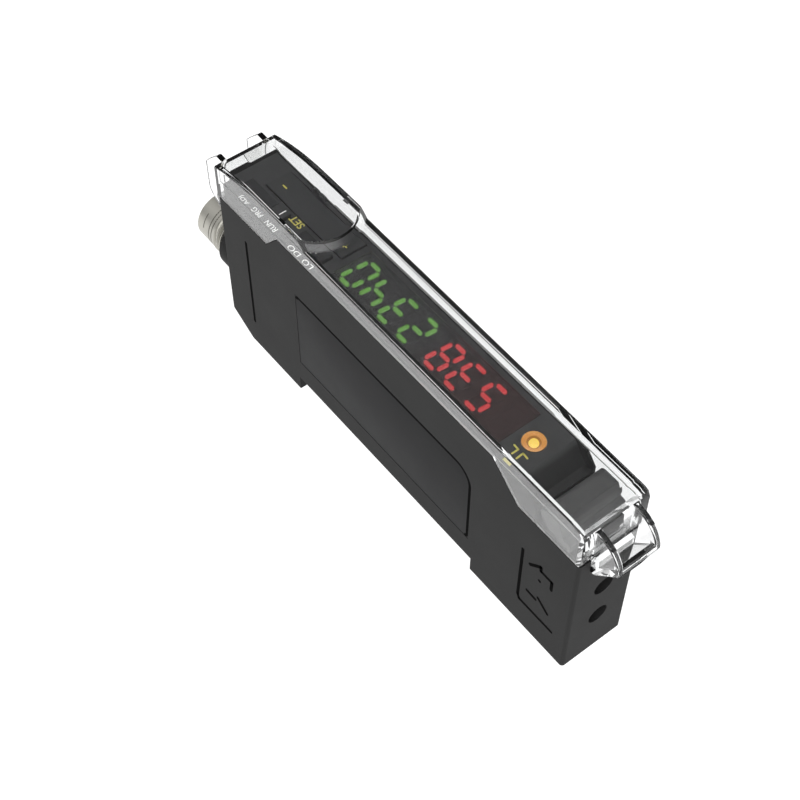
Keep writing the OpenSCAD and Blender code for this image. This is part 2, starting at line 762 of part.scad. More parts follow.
// Hinge ear with its stub
module ear() {
  slab(ear_y0, ear_y1) {
    translate([ear_x, ear_z]) circle(r = ear_r);
    translate([hinge_x, hinge_z]) circle(r = hinge_back - free);
    polygon([[ear_x - ear_r, ear_z], [ear_x - ear_r, ear_z + 4.25], [ear_x - 0.65, ear_z + 5.95],
      [ear_x + 0.85, ear_z + 7.4], [back_x + 0.4, hood_z - 1.95], [back_x + 0.4, hood_z - 4.2],
      [back_x - free, ear_z + 3.4], [back_x - free, hinge_z], [hinge_x - 1.05, hinge_z - 0.95],
      [ear_x - 1.5, ear_z - 1.6]]);
  }
  ycyl(hinge_x, hinge_z, hinge_r, lug_in + 0.6, ear_y0 + 0.3);
}

// Finger tab: two curved cheeks, a tongue before the front end, a sloping floor and a cross bar
module finger_tab() {
  x0 = front_x + free;
  x1 = x0 + tab_t;
  x2 = front_x + tab_r;
  rise = (tab_z - tab_low) / (x2 - x1);
  z1 = tab_low + tab_t * sqrt(1 + rise * rise);
  difference() {
    union() {
      slab(-tab_hw, tab_hw) polygon([[x0, tab_low], [x1, tab_low], [x2, tab_z], [front_x - 0.5, tab_z],
        [front_x - 0.5, front_z + 2 * free], [x0, front_z + 2 * free]]);
      intersection() {
        ycyl(front_x, tab_z, tab_r, -tab_hw, tab_hw);
        brick(front_x - 0.5, x2 + 1, -tab_hw, tab_hw, tab_z - 0.1, tab_z + tab_r + 1);
      }
    }
    slab(-tab_in, tab_in) polygon([[x1, z1], [x2 - tab_t, z1 + rise * (x2 - tab_t - x1)],
      [x2 - tab_t, tab_z + 0.9], [x2 + 1, tab_z + 0.9], [x2 + 1, tab_z + 9], [front_x - 1, tab_z + 9],
      [front_x - 1, front_z + 1.5], [x1, front_z + 0.8]]);
  }
}

module dust_cover() {
  color([0.75, 0.76, 0.77, 0.35]) {
    cover_shell();
    both() ear();
    finger_tab();
  }
}

// Plug shell turned about the plug's axis: plain end, thread zone cut to its core
module connector_shell() {
  ri = plug_r - 1;
  core = plug_r - 0.35;
  t0 = plug_l - 5;
  s0 = plug_l - 0.7 - seat;
  s1 = plug_l + end_t + 0.4;
  color([0.74, 0.73, 0.7]) difference() {
    translate([plug_end, 0, plug_z]) rotate([0, 90, 0]) rotate_extrude()
      polygon([[ri, 0], [plug_r - 0.25, 0], [plug_r, 0.25], [plug_r, t0], [core, t0 + 0.35],
        [core, s0], [plug_neck, s0], [plug_neck, s1], [ri, s1]]);
    brick(plug_end - 1, plug_end + 1.6, -0.45, 0.45, plug_z + ri - 0.2, plug_z + plug_r + 1);
  }
}

module connector_insert() {
  color([0.1, 0.1, 0.1]) difference() {
    xcyl(0, plug_z, plug_r - 1 - seat, plug_end + 5.2, back_x + end_t + 0.6);
    for (y = [-1, 1])
      for (z = [-1, 1])
        xcyl(y * pin_off, plug_z + z * pin_off, contact_r + 0.01, plug_end, 0);
  }
}

module connector_pins() {
  color([0.85, 0.7, 0.3])
    for (y = [-1, 1])
      for (z = [-1, 1])
        xcyl(y * pin_off, plug_z + z * pin_off, contact_r, plug_end + 1.6, main_x0 + 2.8);
}

module rail_latch() {
  x0 = -rail_gap / 2 - latch_l + 1;
  x1 = -rail_w / 2 - slide;
  color([0.2, 0.2, 0.2]) difference() {
    union() {
      slab(-hook_hw, hook_hw) polygon([[x0, -foot_h + slide], [x1, -foot_h + slide],
        [x1 + hook_reach, -rail_t - 0.5], [x1 + hook_reach, -rail_t], [x1, -rail_t], [x1, -slide],
        [x0, -slide]]);
      brick(x0, -rail_gap / 2 - 0.2, -hook_hw - 0.7, hook_hw + 0.7, -rail_t + slide, 0.3 - slide);
    }
    brick(x0 + 1.5, x0 + 2.7, -0.9, 0.9, -foot_h - 1, -foot_h + 0.9);
  }
}

// Flat zigzag spring behind the sliding catch
module latch_spring() {
  t = 0.3;
  x0 = -rail_gap / 2 - latch_l - latch_travel - 0.73 + t / 2;
  x1 = -rail_gap / 2 - latch_l + 0.98 - t / 2;
  n = 6;
  a = [for (i = [0:n]) [x0 + i * (x1 - x0) / n, i % 2 == 0 ? -1.5 : 1.5]];
  color([0.75, 0.75, 0.78]) translate([0, 0, -rail_t + 0.2]) linear_extrude(1)
    for (i = [0:n - 1]) stroke(a[i], a[i + 1], t);
}

case();
deck();
display_window();
green_display();
red_display();
green_segments();
red_segments();
output_led();
display_board();
main_board();
mode_switch_body();
operate_switch_body();
tact_switches();
port_block();
emitter();
receiver();
clamp_pin();
clamp_plate();
clamp_lever();
rocker_button();
mode_knob();
operate_knob();
dust_cover();
connector_shell();
connector_insert();
connector_pins();
rail_latch();
latch_spring();
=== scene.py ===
import json
import logging
import math
from dataclasses import dataclass
from enum import Enum
from functools import cache
from typing import Sequence

import bmesh
import bpy
from mathutils import Matrix, Vector


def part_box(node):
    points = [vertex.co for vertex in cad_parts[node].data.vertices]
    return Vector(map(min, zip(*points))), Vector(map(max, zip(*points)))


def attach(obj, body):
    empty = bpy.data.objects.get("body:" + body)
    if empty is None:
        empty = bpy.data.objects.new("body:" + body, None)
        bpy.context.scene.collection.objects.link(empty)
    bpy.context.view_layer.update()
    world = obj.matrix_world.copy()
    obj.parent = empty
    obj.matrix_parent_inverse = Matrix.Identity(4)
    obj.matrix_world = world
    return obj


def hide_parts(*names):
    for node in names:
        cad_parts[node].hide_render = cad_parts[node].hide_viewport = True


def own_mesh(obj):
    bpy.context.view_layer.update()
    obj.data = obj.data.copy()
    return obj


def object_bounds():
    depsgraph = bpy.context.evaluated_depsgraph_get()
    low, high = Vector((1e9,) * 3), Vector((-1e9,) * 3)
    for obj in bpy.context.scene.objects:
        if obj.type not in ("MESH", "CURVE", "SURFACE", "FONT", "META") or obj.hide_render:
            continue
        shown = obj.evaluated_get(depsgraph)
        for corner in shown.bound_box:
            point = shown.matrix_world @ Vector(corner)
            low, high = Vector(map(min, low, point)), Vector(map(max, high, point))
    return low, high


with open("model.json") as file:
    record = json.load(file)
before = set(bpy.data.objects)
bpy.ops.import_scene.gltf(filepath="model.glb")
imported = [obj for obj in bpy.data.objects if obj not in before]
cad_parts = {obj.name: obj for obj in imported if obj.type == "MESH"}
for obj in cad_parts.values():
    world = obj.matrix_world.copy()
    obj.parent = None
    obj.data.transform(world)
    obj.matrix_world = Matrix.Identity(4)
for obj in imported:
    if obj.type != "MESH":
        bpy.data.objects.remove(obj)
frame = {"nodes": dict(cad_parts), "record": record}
CAD_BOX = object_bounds()

LOG = logging.getLogger("amplifier")
MM = 0.001
WELD = 1e-4
TYPE_STEPS = 4
TYPE_WEIGHT = 0.008
TYPE_WELD = 1e-5
Material = bpy.types.Material
Colour = Triple = tuple[float, float, float]
Point = tuple[float, float]
Line = tuple[Point, ...]


def linear(*channels: int) -> Colour:
    """Turn a screen colour into the linear colour that shaders use.

    Args:
        *channels: Red, green and blue from 0 to 255.

    Returns:
        The linear colour.
    """
    shares = [channel / 255 for channel in channels]
    return tuple(s / 12.92 if s <= 0.04045 else ((s + 0.055) / 1.055) ** 2.4 for s in shares)


def shade(colour: Colour, factor: float) -> tuple[float, ...]:
    """Scale a colour and give it full opacity."""
    return tuple(channel * factor for channel in colour) + (1.0,)


def span(node: str) -> tuple[Vector, Vector]:
    """Give a node's lowest and highest corners in millimetres."""
    low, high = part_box(node)
    return low / MM, high / MM


def put(name: str, data: bpy.types.ID) -> bpy.types.Object:
    """Put an object with this data in the scene."""
    made = bpy.data.objects.new(name, data)
    bpy.context.scene.collection.objects.link(made)
    return made


def travel(joint: str) -> float:
    """Give the far end of a sliding joint's range in millimetres."""
    joints = frame["record"]["behaviour"]["joints"]
    return next(held["range_m"][1] for held in joints if held["name"] == joint) / MM


@dataclass
class Wire:
    """A shader socket that takes part in Python expressions."""

    paint: "Paint"
    socket: bpy.types.NodeSocket

    def maths(self, operation: str, *terms: "Wire | float") -> "Wire":
        """Add one Math node over the terms."""
        return self.paint.node("ShaderNodeMath", {"operation": operation}, dict(enumerate(terms)))

    def __add__(self, other: "Wire | float") -> "Wire":
        """Add."""
        return self.maths("ADD", self, other)

    def __radd__(self, other: float) -> "Wire":
        """Add to a number."""
        return self.maths("ADD", other, self)

    def __sub__(self, other: "Wire | float") -> "Wire":
        """Subtract."""
        return self.maths("SUBTRACT", self, other)

    def __mul__(self, other: "Wire | float") -> "Wire":
        """Multiply."""
        return self.maths("MULTIPLY", self, other)

    def swing(self, share: float) -> "Wire":
        """Centre a noise on zero and scale it."""
        return (self - 0.5) * share


class Paint:
    """A material or a world under construction."""

    def __init__(self, name: str, kind: str = "materials") -> None:
        """Start an empty node tree."""
        self.held = getattr(bpy.data, kind).new(name)
        self.held.use_nodes = True
        self.tree = self.held.node_tree
        self.tree.nodes.clear()

    def node(self, kind: str, settings: dict | None = None, inputs: dict | None = None,
             out: int | str = 0) -> Wire:
        """Add a node.

        Args:
            kind: The node's type.
            settings: Properties that are set first.
            inputs: Values or wires by socket name or number.
            out: The output that is read.

        Returns:
            The wire of that output.
        """
        made = self.tree.nodes.new(kind)
        for key, value in (settings or {}).items():
            setattr(made, key, value)
        for key, value in (inputs or {}).items():
            if isinstance(value, Wire):
                self.tree.links.new(value.socket, made.inputs[key])
            else:
                made.inputs[key].default_value = value
        return Wire(self, made.outputs[out])

    def place(self) -> Wire:
        """Read the piece's own coordinates, in metres."""
        return self.node("ShaderNodeTexCoord", out="Object")

    def noise(self, size: float, detail: float = 2.0, stretch: Sequence[float] = (1, 1, 1)) -> Wire:
        """Add noise with a feature size in millimetres, stretched along the axes."""
        where = self.node("ShaderNodeMapping", {"vector_type": "POINT"},
                          {"Vector": self.place(), "Scale": tuple(1 / s for s in stretch)})
        return self.node("ShaderNodeTexNoise", {}, {"Vector": where, "Scale": 1 / (size * MM),
                                                    "Detail": detail, "Roughness": 0.55}, "Fac")

    def fade(self, first: float, last: float) -> Wire:
        """Rise smoothly from 0 to 1 between two places along X, in millimetres."""
        along = self.node("ShaderNodeSeparateXYZ", {}, {0: self.place()})
        return self.node("ShaderNodeMapRange", {"interpolation_type": "SMOOTHSTEP"},
                         {0: along, 1: first * MM, 2: last * MM, 3: 0.0, 4: 1.0})

    def mix(self, factor: Wire, first: Sequence[float], second: Sequence[float]) -> Wire:
        """Blend two colours, by the sockets that take colours."""
        return self.node("ShaderNodeMix", {"data_type": "RGBA"}, {0: factor, 6: first, 7: second}, 2)

    def tones(self, share: Wire, colour: Colour, low: float, high: float) -> Wire:
        """Drift between two shades of a colour."""
        return self.mix(share, shade(colour, low), shade(colour, high))

    def bump(self, height: Wire, depth: float) -> Wire:
        """Turn a height into a normal, with the relief's depth in millimetres."""
        return self.node("ShaderNodeBump", {}, {"Height": height, "Distance": depth * MM, "Strength": 1.0})

    def finish(self, **inputs: "Wire | float | Sequence[float]") -> Material:
        """Close the material with a Principled shader.

        Args:
            **inputs: Socket values, named with underscores for spaces.

        Returns:
            The finished material.
        """
        named = {key.replace("_", " "): value for key, value in inputs.items()}
        return self.close(self.node("ShaderNodeBsdfPrincipled", {}, named), "Material")

    def close(self, shader: Wire, kind: str) -> bpy.types.ID:
        """Link the shader to the surface, and give what it was made for."""
        output = self.tree.nodes.new("ShaderNodeOutput" + kind)
        self.tree.links.new(shader.socket, output.inputs["Surface"])
        return self.held


@dataclass(frozen=True)
class Coat:
    """What every finish has."""

    name: str
    colour: Colour


@dataclass(frozen=True)
class MouldedPlastic(Coat):
    """Moulded plastic with a spark-eroded grain."""

    rough: float = 0.55
    grain: float = 0.09
    depth: float = 0.004
    gloss: float = 0.3
    drift: float = 0.12
    cloud: float = 6.0
    cloud_rough: float = 0.12
    grain_rough: float = 0.1

    def material(self) -> Material:
        """Make the material."""
        paint = Paint(self.name)
        cloud = paint.noise(self.cloud, detail=3.0)
        grain = paint.noise(self.grain)
        rough = self.rough + cloud.swing(self.cloud_rough) + grain.swing(self.grain_rough)
        return paint.finish(Base_Color=self.tone(paint, cloud), Roughness=rough,
                            Normal=paint.bump(grain, self.depth), Specular_IOR_Level=self.gloss)

    def tone(self, paint: Paint, cloud: Wire) -> Wire:
        """Let the colour drift with the cloud."""
        return paint.tones(cloud, self.colour, 1 - self.drift, 1 + self.drift)


@dataclass(frozen=True)
class FacePlastic(MouldedPlastic):
    """The face's moulded plastic, with painted shade darkening the steep slope at its front."""

    slope_start: float = 25.7
    slope_painted_shade: float = 0.14
    slope_blend: Point = (-0.2, 0.8)
    slope_cloud: float = 0.15

    def tone(self, paint: Paint, cloud: Wire) -> Wire:
        """Paint shade into the colour down the slope."""
        slope = paint.fade(*(self.slope_start + shift for shift in self.slope_blend))
        return paint.tones(slope + cloud.swing(self.slope_cloud), self.colour, 1.0, self.slope_painted_shade)


@dataclass(frozen=True)
class ClearPlastic(Coat):
    """Clear or tinted see-through plastic with a faint flow pattern."""

    rough: float = 0.0
    index: float = 1.49
    haze: float = 0.002
    flow: float = 9.0
    stretch: Triple = (3.0, 1.0, 1.0)
    dim: float = 0.985

    def material(self) -> Material:
        """Make the material."""
        paint = Paint(self.name)
        flow = paint.noise(self.flow, detail=1.0, stretch=self.stretch)
        colour = paint.tones(flow, self.colour, self.dim, 1.0)
        return paint.finish(Base_Color=colour, Roughness=self.rough + flow * self.haze,
                            Transmission_Weight=1.0, IOR=self.index)


@dataclass(frozen=True)
class SmokedFilm(Coat):
    """A smoked film that partly hides what lies under it and turns to a second colour along X."""

    front: Colour
    turn: Point
    cover: float
    rough: float = 0.5
    gloss: float = 0.35
    cloud: float = 5.0
    cloud_tint: float = 0.1
    cloud_rough: float = 0.06

    def material(self) -> Material:
        """Make the material."""
        paint = Paint(self.name)
        cloud = paint.noise(self.cloud)
        share = paint.fade(*self.turn) + cloud.swing(self.cloud_tint)
        colour = paint.mix(share, shade(self.colour, 1.0), shade(self.front, 1.0))
        return paint.finish(Base_Color=colour, Roughness=self.rough + cloud.swing(self.cloud_rough),
                            Specular_IOR_Level=self.gloss, Alpha=self.cover)


@dataclass(frozen=True)
class LitBar(Coat):
    """A display bar's window, glowing or dark."""

    glow: float
    haze: float = 1.2
    tones: Point = (0.86, 1.08)
    body: float = 0.3
    rough: float = 0.45

    def material(self) -> Material:
        """Make the material."""
        paint = Paint(self.name)
        colour = paint.tones(paint.noise(self.haze), self.colour, *self.tones)
        return paint.finish(Base_Color=shade(self.colour, self.body), Roughness=self.rough,
                            Emission_Color=colour, Emission_Strength=self.glow)


@dataclass(frozen=True)
class Ink(Coat):
    """Printed ink with a slightly uneven film; where it glows, the glow is painted light that brightens the
    print.
    """

    rough: float = 0.6
    glow: float = 0.0
    gloss: float = 0.3
    film: float = 0.3
    film_rough: float = 0.15
    dim: float = 0.92

    def material(self) -> Material:
        """Make the material."""
        paint = Paint(self.name)
        film = paint.noise(self.film, detail=3.0)
        colour = paint.tones(film, self.colour, self.dim, 1.0)
        return paint.finish(Base_Color=colour, Roughness=self.rough + film.swing(self.film_rough),
                            Specular_IOR_Level=self.gloss, Emission_Color=shade(self.colour, 1.0),
                            Emission_Strength=self.glow)


@dataclass(frozen=True)
class Metal(Coat):
    """Plated or drawn metal with fine lines along one axis."""

    rough: float = 0.3
    stretch: Triple = (8.0, 1.0, 1.0)
    line: float = 0.12
    line_rough: float = 0.2
    line_depth: float = 0.003
    cloud: float = 2.5
    cloud_rough: float = 0.1
    tones: Point = (0.9, 1.05)

    def material(self) -> Material:
        """Make the material."""
        paint = Paint(self.name)
        lines = paint.noise(self.line, detail=3.0, stretch=self.stretch)
        cloud = paint.noise(self.cloud, detail=3.0)
        colour = paint.tones(cloud, self.colour, *self.tones)
        rough = self.rough + lines.swing(self.line_rough) + cloud.swing(self.cloud_rough)
        return paint.finish(Base_Color=colour, Roughness=rough, Metallic=1.0,
                            Normal=paint.bump(lines, self.line_depth))


@dataclass(frozen=True)
class CircuitBoard(Coat):
    """Green solder resist over fine tracks."""

    pitch: float = 2.4
    track: float = 0.045
    offset: float = 0.37
    tones: Triple = (0.85, 1.0, 1.9)
    cloud: float = 1.5
    cloud_rough: float = 0.2
    rough: float = 0.35

    def material(self) -> Material:
        """Make the material."""
        paint = Paint(self.name)
        one, two, track = (shade(self.colour, tone) for tone in self.tones)
        tracks = paint.node("ShaderNodeTexBrick", {"offset": self.offset}, {
            "Vector": paint.place(), "Scale": 1 / (self.pitch * MM), "Mortar Size": self.track,
            "Color1": one, "Color2": two, "Mortar": track}, "Color")
        cloud = paint.noise(self.cloud, detail=3.0)
        return paint.finish(Base_Color=tracks, Roughness=self.rough + cloud.swing(self.cloud_rough))


class Finish(Enum):
    """Every finish of the amplifier, by the piece that wears it."""

    HOUSING = MouldedPlastic("housing_plastic", linear(31, 31, 31), 0.62, gloss=0.12)
    # The face plastic darkens down its front slope: painted shade.
    FACE = FacePlastic("face_plastic", linear(67, 67, 68), 0.5, 0.07, 0.002, 0.35, cloud_rough=0.0)
    LABEL = MouldedPlastic("label_film", linear(30, 30, 31), 0.6, 0.05, 0.001, gloss=0.1)
    LEVER = MouldedPlastic("lever_plastic", linear(86, 86, 86))
    BUTTON = MouldedPlastic("button_plastic", linear(66, 66, 67), 0.5, 0.07, 0.002)
    INNER = MouldedPlastic("block_plastic", linear(30, 30, 31), 0.6)
    # The switch bodies are made lighter than their plastic: painted light that lifts the shade seen down the
    # knob slots.
    SWITCH = MouldedPlastic("switch_plastic", linear(104, 104, 105), 0.5)
    STRIP = MouldedPlastic("strip_foam", linear(62, 62, 63), 0.75, 0.15, 0.01, gloss=0.1)
    KEY = MouldedPlastic("key_plastic", linear(52, 52, 56), 0.5)
    MODULE = MouldedPlastic("module_plastic", linear(22, 22, 22), 0.5, gloss=0.2)
    PLUG_INSERT = MouldedPlastic("insert_plastic", linear(28, 28, 28), 0.5)
    CLEAR = ClearPlastic("clear_cover", (0.985, 0.99, 0.99))
    PANE = SmokedFilm("smoked_pane", linear(80, 79, 80), linear(77, 60, 60), (2.0, 16.0), 0.68)
    # A dark film on the tab's rim: painted shade.
    EDGE = SmokedFilm("edge_shade", linear(30, 30, 31), linear(40, 40, 41), (37.0, 42.0), 0.68, rough=0.25)
    LENS = ClearPlastic("amber_lens", (1.0, 0.84, 0.52), 0.04, 1.5)
    GREEN_ON = LitBar("green_lit", (0.385, 1.0, 0.16), 2.7)
    RED_ON = LitBar("red_lit", (1.0, 0.073, 0.082), 4.9)
    GREEN_OFF = LitBar("green_unlit", linear(40, 40, 40), 0.0)
    RED_OFF = LitBar("red_unlit", linear(44, 38, 38), 0.0)
    LAMP_CORE = LitBar("lamp_core", (1.0, 0.84, 0.25), 0.95)
    LAMP_CUP = LitBar("lamp_cup", (0.68, 0.36, 0.14), 0.85)
    LAMP_WELL = LitBar("lamp_well", (0.42, 0.2, 0.06), 0.7)
    # The white and yellow inks glow: painted light that brightens the legends and marks.
    WHITE_INK = Ink("white_ink", linear(240, 240, 238), glow=0.35)
    YELLOW_INK = Ink("yellow_ink", linear(222, 212, 110), glow=0.06)
    # Black ink prints the fibre pictogram; the same black laid in the label joints and side grooves is
    # painted shadow.
    BLACK_INK_AND_PAINTED_SHADE = Ink("black_ink_and_painted_shade", linear(5, 5, 5), 0.8, gloss=0.02)
    BOARD = CircuitBoard("board_resist", linear(18, 40, 27))
    EMITTER = ClearPlastic("emitter_epoxy", linear(230, 120, 110), 0.1, 1.5)
    RECEIVER = ClearPlastic("receiver_epoxy", linear(90, 90, 110), 0.1, 1.5)
    STEEL = Metal("bright_steel", linear(190, 190, 192), 0.28, (1.0, 8.0, 1.0))
    PLUG = Metal("plated_brass", linear(182, 180, 172), 0.4, (1.0, 6.0, 6.0))
    # Darker metal in the thread's bed, the rings and the short mark: painted shade in their grooves.
    PLUG_GROOVE_SHADE = Metal("plug_groove_painted_shade", linear(112, 110, 104), 0.6, (1.0, 6.0, 6.0))
    CONTACT = Metal("gilt_contact", linear(226, 190, 110), 0.25)


@cache
def worn(finish: Finish) -> Material:
    """Give the finish's material, made once."""
    return finish.value.material()


def dress(finish: Finish, *nodes: str) -> None:
    """Give CAD nodes a finish."""
    for name in nodes:
        piece = frame["nodes"][name]
        for held in piece.material_slots:
            held.material = worn(finish)
        if not piece.material_slots:
            piece.data.materials.append(worn(finish))
        LOG.info("dressed %s in %s", name, finish.value.name)


class Blank:
    """A mesh in millimetres from which one piece is modelled."""

    def __init__(self) -> None:
        """Start with an empty mesh."""
        self.bm = bmesh.new()

    def prism(self, outline: Sequence[Sequence[float]], rise: Sequence[float], soften: float = 0.0) -> None:
        """Raise a closed solid over a flat outline.

        Args:
            outline: Corner points of the flat face.
            rise: Direction and height of the solid.
            soften: Width of the bevel round the raised face.
        """
        face = self.bm.faces.new([self.bm.verts.new(p) for p in outline])
        made = bmesh.ops.extrude_face_region(self.bm, geom=[face])["geom"]
        moved = [g for g in made if isinstance(g, bmesh.types.BMVert)]
        bmesh.ops.translate(self.bm, vec=Vector(rise), verts=moved)
        if soften:
            lids = [g for g in made if isinstance(g, bmesh.types.BMFace)]
            rim = list({edge for lid in lids for edge in lid.edges})
            bmesh.ops.bevel(self.bm, geom=rim, offset=soften, offset_type="OFFSET", segments=2,
                            profile=0.5, affect="EDGES", material=-1, clamp_overlap=True)

    def lathe(self, profile: Sequence[Point], middle: Sequence[float], axis: str, steps: int = 64) -> None:
        """Turn a profile of (along, radius) points about an axis through the middle."""
        along = Vector((1, 0, 0)) if axis == "X" else Vector((0, 0, 1))
        out = Vector((0, 0, 1)) if axis == "X" else Vector((1, 0, 0))
        verts = [self.bm.verts.new(Vector(middle) + along * a + out * r) for a, r in profile]
        edges = [self.bm.edges.new(pair) for pair in zip(verts, verts[1:])]
        bmesh.ops.spin(self.bm, geom=verts + edges, cent=middle, axis=along, dvec=(0, 0, 0),
                       angle=2 * math.pi, steps=steps, use_merge=True)
        bmesh.ops.remove_doubles(self.bm, verts=self.bm.verts[:], dist=WELD)

    def wind(self, section: Sequence[Point], middle: Vector, sweep: float, climb: float, steps: int,
             first: float = 0.0) -> None:
        """Sweep a section of (along, radius) points round an axis along X.

        Args:
            section: Corner points of the section.
            middle: A point of the axis.
            sweep: Angle of the sweep in degrees.
            climb: How far the section moves along the axis.
            steps: Steps of the sweep.
            first: Angle of the first section from the top to the near side.
        """
        lean = math.radians(first)
        out = Vector((0, -math.sin(lean), math.cos(lean)))
        verts = [self.bm.verts.new(middle + Vector((x, 0, 0)) + out * r) for x, r in section]
        face = self.bm.faces.new(verts)
        bmesh.ops.spin(self.bm, geom=[face] + face.edges[:] + face.verts[:], cent=middle, axis=(1, 0, 0),
                       dvec=(climb / steps, 0, 0), angle=math.radians(sweep), steps=steps)
        bmesh.ops.remove_doubles(self.bm, verts=self.bm.verts[:], dist=WELD)

    def stroke(self, start: Point, end: Point, width: float, place: Matrix, height: float,
               ends: int = 6) -> None:
        """Lay a round-ended stroke on a plane.

        Args:
            start: First point on the plane.
            end: Last point on the plane.
            width: Width of the stroke.
            place: Matrix that takes the plane to the part.
            height: Height over the plane.
            ends: Steps in each round end.
        """
        way = Vector(end) - Vector(start)
        turn = math.degrees(math.atan2(way.y, way.x))
        outline = (arc(end, width / 2, turn - 90, turn + 90, ends)
                   + arc(start, width / 2, turn + 90, turn + 270, ends))
        self.prism([place @ Vector((*spot, 0)) for spot in outline], place.to_3x3() @ Vector((0, 0, height)))

    def chains(self, lines: Sequence[Line], width: float, place: Matrix, height: float) -> None:
        """Lay strokes from point to point along each line on a plane."""
        for line in lines:
            for start, end in zip(line, line[1:]):
                self.stroke(start, end, width, place, height)

    def ribbon(self, line: Sequence[Point], width: float, place: Matrix, height: float) -> None:
        """Lay a strip of even width along a line on a plane.

        Args:
            line: Points of the strip's middle line.
            width: Width of the strip on the plane.
            place: Matrix that takes the plane to the part.
            height: Height over the plane.
        """
        spots = [Vector(spot) for spot in line]
        rings = []
        for before, spot, after in zip(spots[:1] + spots, spots, spots[1:] + spots[-1:]):
            way = (after - before).normalized()
            out = Vector((-way.y, way.x)) * width / 2
            rings.append([self.bm.verts.new(place @ Vector((*(spot + out * turn), z)))
                          for turn, z in ((1, 0), (1, height), (-1, height), (-1, 0))])
        for first, second in zip(rings, rings[1:]):
            for here, there in ((0, 1), (1, 2), (2, 3), (3, 0)):
                self.bm.faces.new((first[here], first[there], second[there], second[here]))
        for end in (rings[0], rings[-1]):
            self.bm.faces.new(end)

    def word(self, text: str, corner: Point, size: Point, place: Matrix, height: float) -> None:
        """Set a word in a plain type, fitted to a size.

        Args:
            text: The legend.
            corner: Lower left corner on the plane.
            size: Width and height of the legend.
            place: Matrix that takes the plane to the part.
            height: Height of the ink.
        """
        curve = bpy.data.curves.new("legend", "FONT")
        curve.body = text
        curve.resolution_u = TYPE_STEPS
        curve.offset = TYPE_WEIGHT
        holder = put("legend", curve)
        graph = bpy.context.evaluated_depsgraph_get()
        mesh = bpy.data.meshes.new_from_object(holder.evaluated_get(graph))
        bpy.data.objects.remove(holder)
        bpy.data.curves.remove(curve)
        xs = [v.co.x for v in mesh.vertices]
        ys = [v.co.y for v in mesh.vertices]
        low = Vector((min(xs), min(ys), 0))
        fit = Matrix.Diagonal((size[0] / (max(xs) - low.x), size[1] / (max(ys) - low.y), 1, 1))
        flat = bmesh.new()
        flat.from_mesh(mesh)
        bmesh.ops.remove_doubles(flat, verts=flat.verts[:], dist=TYPE_WELD)
        made = bmesh.ops.extrude_face_region(flat, geom=flat.faces[:])["geom"]
        bmesh.ops.translate(flat, vec=(0, 0, height),
                            verts=[g for g in made if isinstance(g, bmesh.types.BMVert)])
        flat.transform(place @ Matrix.Translation((*corner, 0)) @ fit @ Matrix.Translation(-low))
        flat.to_mesh(mesh)
        flat.free()
        self.bm.from_mesh(mesh)
        bpy.data.meshes.remove(mesh)

    @staticmethod
    def even_normals(mesh: bpy.types.Mesh, angle: float) -> None:
        """Weight each corner's normal by area, so that flat faces beside soft edges stay flat.

        Args:
            mesh: The mesh that takes the normals.
            angle: Faces that differ by more than this many degrees stay apart.
        """
        limit, square_mm = math.cos(math.radians(angle)), 1e6
        round_corner: list[list] = [[] for _ in mesh.vertices]
        for face in mesh.polygons:
            for corner in face.vertices:
                round_corner[corner].append(face)
        normals = []
        for face in mesh.polygons:
            for corner in face.vertices:
                near = [other.normal * other.area * square_mm for other in round_corner[corner]
                        if other.normal.dot(face.normal) > limit]
                normals.append(sum(near, Vector((0, 0, 0))).normalized())
        mesh.normals_split_custom_set(normals)

    def piece(self, name: str, body: str, slot: str, finish: Finish, smooth: float = 30.0,
              stands_for: Sequence[str] = (), even: bool = False) -> bpy.types.Object:
        """Close the mesh and put the piece on its body.

        Args:
            name: The piece's name.
            body: The body that it rides on.
            slot: A material slot's name; not used.
            finish: Its finish.
            smooth: Edges flatter than this angle are shaded smooth.
            stands_for: CAD nodes that it replaces.
            even: Whether normals are weighted by area.

        Returns:
            The piece.
        """
        bmesh.ops.recalc_face_normals(self.bm, faces=self.bm.faces[:])
        bmesh.ops.scale(self.bm, vec=(MM, MM, MM), verts=self.bm.verts[:])
        mesh = bpy.data.meshes.new(name)
        self.bm.to_mesh(mesh)
        self.bm.free()
        mesh.polygons.foreach_set("use_smooth", [True] * len(mesh.polygons))
        mesh.set_sharp_from_angle(angle=math.radians(smooth))
        if even:
            self.even_normals(mesh, smooth)
        mesh.materials.append(worn(finish))
        made = put(name, mesh)
        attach(made, body)
        if stands_for:
            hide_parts(*stands_for)
        LOG.info("made %s on %s, %d faces", name, body, len(mesh.polygons))
        return made


def upright(height: float) -> Matrix:
    """Plane at a height in millimetres: legends read to -X with their tops to -Y."""
    return Matrix(((-1, 0, 0, 0), (0, -1, 0, 0), (0, 0, 1, height), (0, 0, 0, 1)))


def side(offset: float, out: int = -1) -> Matrix:
    """Plane of a long side: across to +X, up to +Z, out to -Y or +Y."""
    return Matrix(((1, 0, 0, 0), (0, 0, out, offset), (0, 1, 0, 0), (0, 0, 0, 1)))


def arc(middle: Point, radius: float, first: float, last: float, steps: int = 10) -> list[Point]:
    """Points of an arc on a plane, from one angle in degrees to another."""
    angles = [math.radians(first + (last - first) * step / steps) for step in range(steps + 1)]
    return [(middle[0] + radius * math.cos(a), middle[1] + radius * math.sin(a)) for a in angles]


